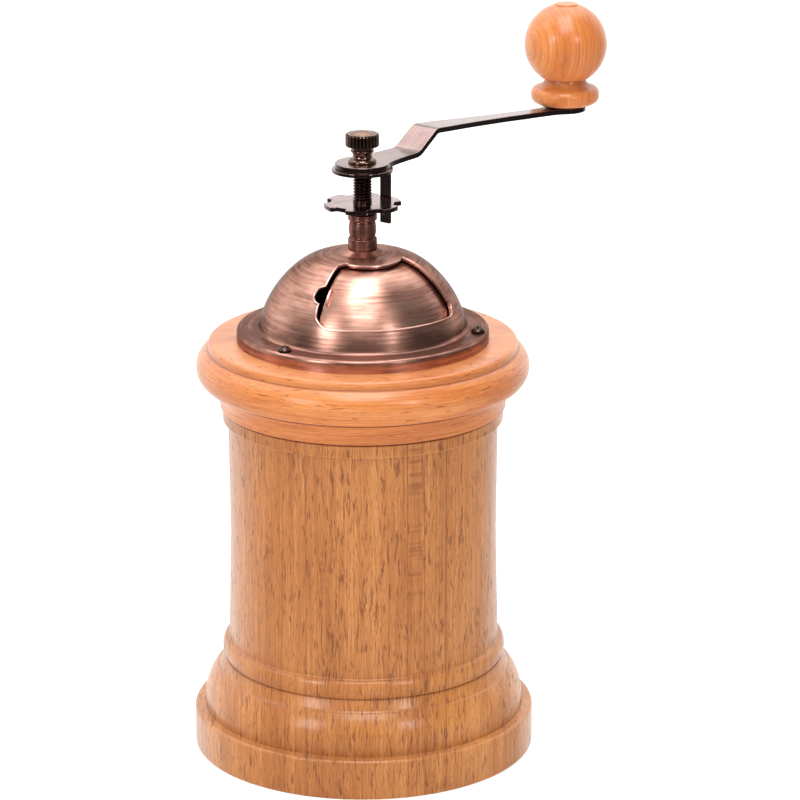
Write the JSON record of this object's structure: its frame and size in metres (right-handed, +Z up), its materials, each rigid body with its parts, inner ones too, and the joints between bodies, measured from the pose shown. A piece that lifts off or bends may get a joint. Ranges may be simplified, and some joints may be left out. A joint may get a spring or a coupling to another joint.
{
  "type": "burr coffee grinder",
  "caption": "Hand-cranked column coffee mill: turned beech body and head, copper hopper dome with a sliding window, notched adjusting wheel, cranked arm with a ball knob.",
  "frame": {"origin": "centre of the foot, on the surface the grinder stands on", "axes": "+Z up along the crank's axis; the window in the dome faces -Y; the crank points 31 degrees from +X towards +Y"},
  "size_m": [0.1344, 0.1039, 0.1923],
  "materials": {
    "body_wood": "satin oiled beech, grain upright",
    "head_wood": "satin oiled beech, grain across",
    "knob_wood": "satin oiled beech",
    "antique_copper": "brushed antique copper plate",
    "dark_copper": "dark antique copper plate",
    "dark_screw": "blackened",
    "plain_steel": "satin",
    "burr_steel": "hardened, satin",
    "spring_steel": "bright"
  },
  "bodies": {
    "container": {"plinth": "body_wood", "moulding": "body_wood", "body_column": "body_wood"},
    "head": {"head_collar": "head_wood", "hopper_dome": "antique_copper", "flange_screw_1": "dark_screw", "flange_screw_2": "dark_screw", "flange_screw_3": "dark_screw", "upper_bush": "antique_copper", "bush_nut": "plain_steel", "shutter_washer": "plain_steel", "burr_ring": "burr_steel", "burr_screw_1": "plain_steel", "burr_screw_2": "plain_steel", "burr_screw_3": "plain_steel", "bearing_bridge": "plain_steel"},
    "shutter": {"shutter": "antique_copper"},
    "wheel": {"adjusting_wheel": "dark_copper"},
    "crank": {"drive_shaft": "dark_screw", "inner_burr": "burr_steel", "burr_washer": "plain_steel", "burr_nut": "plain_steel", "burr_spring": "spring_steel", "lock_plate": "dark_copper", "crank_arm": "antique_copper", "knob_pin": "dark_screw", "knob_washer": "dark_screw"},
    "screw_washer": {"screw_washer": "dark_copper"},
    "thumb_screw": {"thumb_screw": "dark_copper"},
    "knob": {"knob": "knob_wood", "knob_plug": "knob_wood"}
  },
  "joints": [
    {"name": "head_lift", "type": "slide", "parent": "container", "child": "head", "axis": [0, 0, 1], "range_m": [0, 0.045]},
    {"name": "shutter_turn", "type": "hinge", "parent": "head", "child": "shutter", "pos_m": [0, 0, 0.137], "axis": [0, 0, 1], "range_deg": [0, 92]},
    {"name": "crank_turn", "type": "hinge", "parent": "head", "child": "wheel", "pos_m": [0, 0, 0.1492], "axis": [0, 0, 1], "continuous": true},
    {"name": "grind_setting", "type": "slide", "parent": "wheel", "child": "crank", "axis": [0, 0, 1], "range_m": [-0.0005, 0.0005], "deforming": ["burr_spring"]},
    {"name": "thumb_rise", "type": "slide", "parent": "crank", "child": "screw_washer", "axis": [0, 0, 1], "range_m": [0, 0.0009]},
    {"name": "thumb_turn", "type": "hinge", "parent": "screw_washer", "child": "thumb_screw", "pos_m": [0, 0, 0.1645], "axis": [0, 0, 1], "range_deg": [0, 720]},
    {"name": "knob_spin", "type": "hinge", "parent": "crank", "child": "knob", "pos_m": [0.07629, 0.04584, 0.1639], "axis": [0, 0, 1], "continuous": true}
  ],
  "couplings": [
    {"joint": "thumb_turn", "follows": "thumb_rise", "rad_per_m": 13963}
  ]
}
